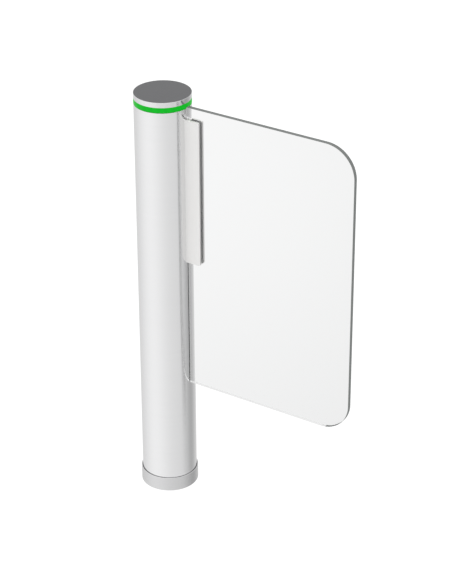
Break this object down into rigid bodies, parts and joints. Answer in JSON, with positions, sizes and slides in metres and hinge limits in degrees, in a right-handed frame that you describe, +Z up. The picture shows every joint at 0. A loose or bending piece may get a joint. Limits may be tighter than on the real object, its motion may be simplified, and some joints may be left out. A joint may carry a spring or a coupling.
{
  "type": "swing gate column",
  "caption": "Floor-standing access column with a turning satin steel tube that carries a clamped glass leaf, under a green light ring and a flat dark cap.",
  "frame": {"origin": "on the column axis at the floor, at the centre of the anchor holes in the underside of the flange", "axes": "+Z up the column; +X along the closed glass leaf, from the column to its outer edge; +Y is the side of the clamp screws"},
  "size_m": [0.5545, 0.135, 1],
  "materials": {
    "tube_steel": "bright satin stainless",
    "collar_steel": "bright satin stainless",
    "cap_steel": "polished edge",
    "inlay_grey": "smooth semi-gloss",
    "light_green": "translucent, lit green",
    "leaf_glass": "clear with ground edges",
    "clamp_satin": "fine satin",
    "gasket_rubber": "matt",
    "foot_steel": "zinc plated",
    "mast_steel": "zinc plated",
    "earth_brass": "plain",
    "seal_rubber": "matt",
    "bearing_steel": "ground",
    "spring_steel": "blackened",
    "cage_brass": "machined",
    "hub_aluminium": "machined",
    "screw_steel": "zinc plated",
    "gear_bronze": "cut teeth",
    "stop_steel": "blackened",
    "bracket_steel": "zinc plated",
    "gearhead_steel": "turned",
    "bush_bronze": "sintered",
    "shaft_steel": "ground",
    "gear_steel": "cut teeth",
    "magnet_grey": "coated",
    "motor_black": "powder coated",
    "winding_copper": "enamelled",
    "motor_plastic": "moulded",
    "board_green": "solder mask",
    "component_black": "moulded",
    "lamp_white": "moulded"
  },
  "bodies": {
    "post": {"floor_flange": "foot_steel", "mast_tube": "mast_steel", "mast_gussets": "mast_steel", "earth_stud": "earth_brass", "base_collar": "collar_steel", "collar_seal": "seal_rubber", "bearing_seats": "mast_steel", "bearing_inner_rings": "bearing_steel", "bearing_circlips": "spring_steel", "motor_bracket": "bracket_steel", "bracket_screws": "screw_steel", "stop_buffers": "seal_rubber", "gearhead_housing": "gearhead_steel", "gearhead_bush": "bush_bronze", "motor_housing": "motor_black", "stator": "winding_copper", "motor_bushes": "bush_bronze", "brake_coil": "winding_copper", "motor_end_cap": "motor_plastic", "encoder_board": "board_green", "board_bracket": "bracket_steel", "control_board": "board_green", "board_components": "component_black", "board_screws": "screw_steel", "head_plug": "hub_aluminium", "head_screws": "screw_steel", "top_seal": "seal_rubber", "led_board": "board_green", "leds": "lamp_white", "led_ring": "light_green", "top_cap": "cap_steel", "cap_screws": "screw_steel", "cap_inlay": "inlay_grey"},
    "leaf": {"sleeve_tube": "tube_steel", "lower_hub": "hub_aluminium", "upper_hub": "hub_aluminium", "hub_screws": "screw_steel", "bearing_outer_rings": "bearing_steel", "ring_gear": "gear_bronze", "stop_dog": "stop_steel", "ring_gear_screws": "screw_steel", "backing_bar": "hub_aluminium", "clamp_bolts": "screw_steel", "clamp_body": "clamp_satin", "clamp_front_plate": "clamp_satin", "clamp_gaskets": "gasket_rubber", "clamp_screws": "screw_steel", "glass_leaf": "leaf_glass"},
    "cages": {"bearing_cages": "cage_brass", "bearing_balls": "bearing_steel"},
    "output": {"output_shaft": "shaft_steel", "drive_pinion": "gear_bronze", "pinion_grub_screw": "spring_steel"},
    "planet_a": {"planet_gear_a": "gear_steel"},
    "planet_b": {"planet_gear_b": "gear_steel"},
    "planet_c": {"planet_gear_c": "gear_steel"},
    "rotor": {"rotor_shaft": "shaft_steel", "sun_gear": "gear_steel", "rotor_magnet": "magnet_grey", "brake_disc": "magnet_grey"}
  },
  "joints": [
    {"name": "leaf_swing", "type": "hinge", "parent": "post", "child": "leaf", "pos_m": [0, 0, 0], "axis": [0, 0, 1], "range_deg": [-90, 90]},
    {"name": "cage_roll", "type": "hinge", "parent": "post", "child": "cages", "pos_m": [0, 0, 0], "axis": [0, 0, 1], "range_deg": [-52, 52]},
    {"name": "output_spin", "type": "hinge", "parent": "post", "child": "output", "pos_m": [-0.04, 0, 0], "axis": [0, 0, 1], "range_deg": [-452, 452]},
    {"name": "rotor_spin", "type": "hinge", "parent": "post", "child": "rotor", "pos_m": [-0.04, 0, 0], "axis": [0, 0, 1], "range_deg": [-2030, 2030]},
    {"name": "planet_a_spin", "type": "hinge", "parent": "output", "child": "planet_a", "pos_m": [-0.03055, 0, 0], "axis": [0, 0, 1], "range_deg": [-1264, 1264]},
    {"name": "planet_b_spin", "type": "hinge", "parent": "output", "child": "planet_b", "pos_m": [-0.04473, 0.00818, 0], "axis": [0, 0, 1], "range_deg": [-1264, 1264]},
    {"name": "planet_c_spin", "type": "hinge", "parent": "output", "child": "planet_c", "pos_m": [-0.04473, -0.00818, 0], "axis": [0, 0, 1], "range_deg": [-1264, 1264]}
  ],
  "couplings": [
    {"joint": "cage_roll", "follows": "leaf_swing", "ratio": 0.56769},
    {"joint": "output_spin", "follows": "leaf_swing", "ratio": 5},
    {"joint": "rotor_spin", "follows": "leaf_swing", "ratio": 22.5},
    {"joint": "planet_a_spin", "follows": "leaf_swing", "ratio": -14},
    {"joint": "planet_b_spin", "follows": "leaf_swing", "ratio": -14},
    {"joint": "planet_c_spin", "follows": "leaf_swing", "ratio": -14}
  ]
}
